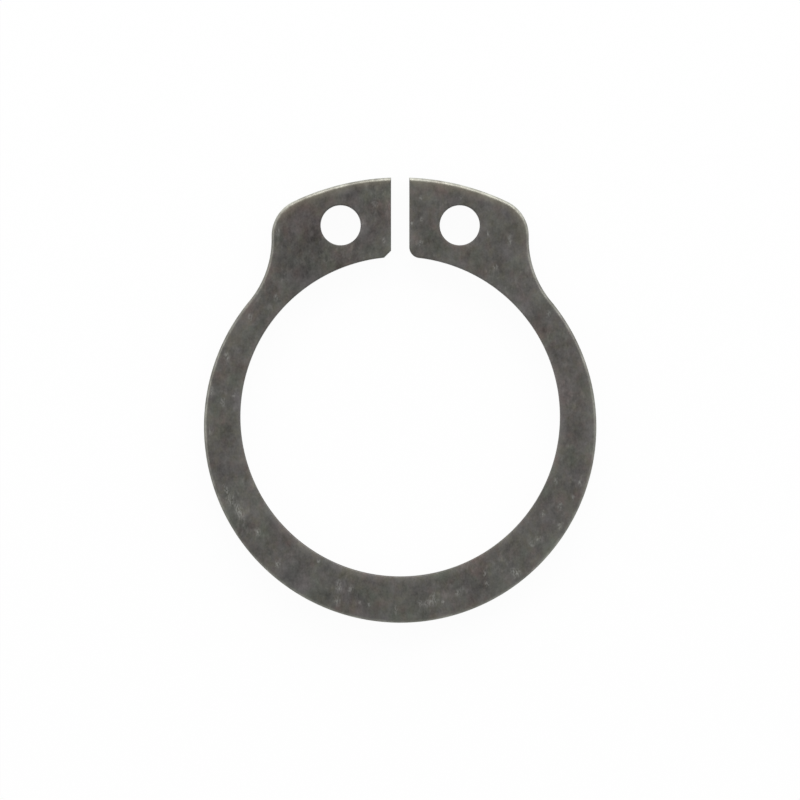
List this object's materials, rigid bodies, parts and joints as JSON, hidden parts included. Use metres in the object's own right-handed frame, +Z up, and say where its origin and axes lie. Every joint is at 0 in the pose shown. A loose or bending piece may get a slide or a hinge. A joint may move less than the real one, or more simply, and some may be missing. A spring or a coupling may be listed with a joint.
{
  "type": "retaining ring",
  "caption": "External spring retaining ring: a tapering C of flat steel with plier lugs beside its gap, which snaps into a groove round a shaft.",
  "frame": {"origin": "axis of the bore, on the lower flat face that the ring lies on", "axes": "+Z up out of the ring along the bore axis, +Y from the bore's centre to the gap between the lugs, +X across both lugs; the rolled outer edge is on the +Z face"},
  "size_m": [0.018, 0.0205, 0.001],
  "materials": {
    "phosphated_steel": "dark grey phosphated spring steel, satin, bare and brighter along its rolled outer edge"
  },
  "bodies": {
    "root": {"retaining_ring": "phosphated_steel"}
  },
  "joints": []
}
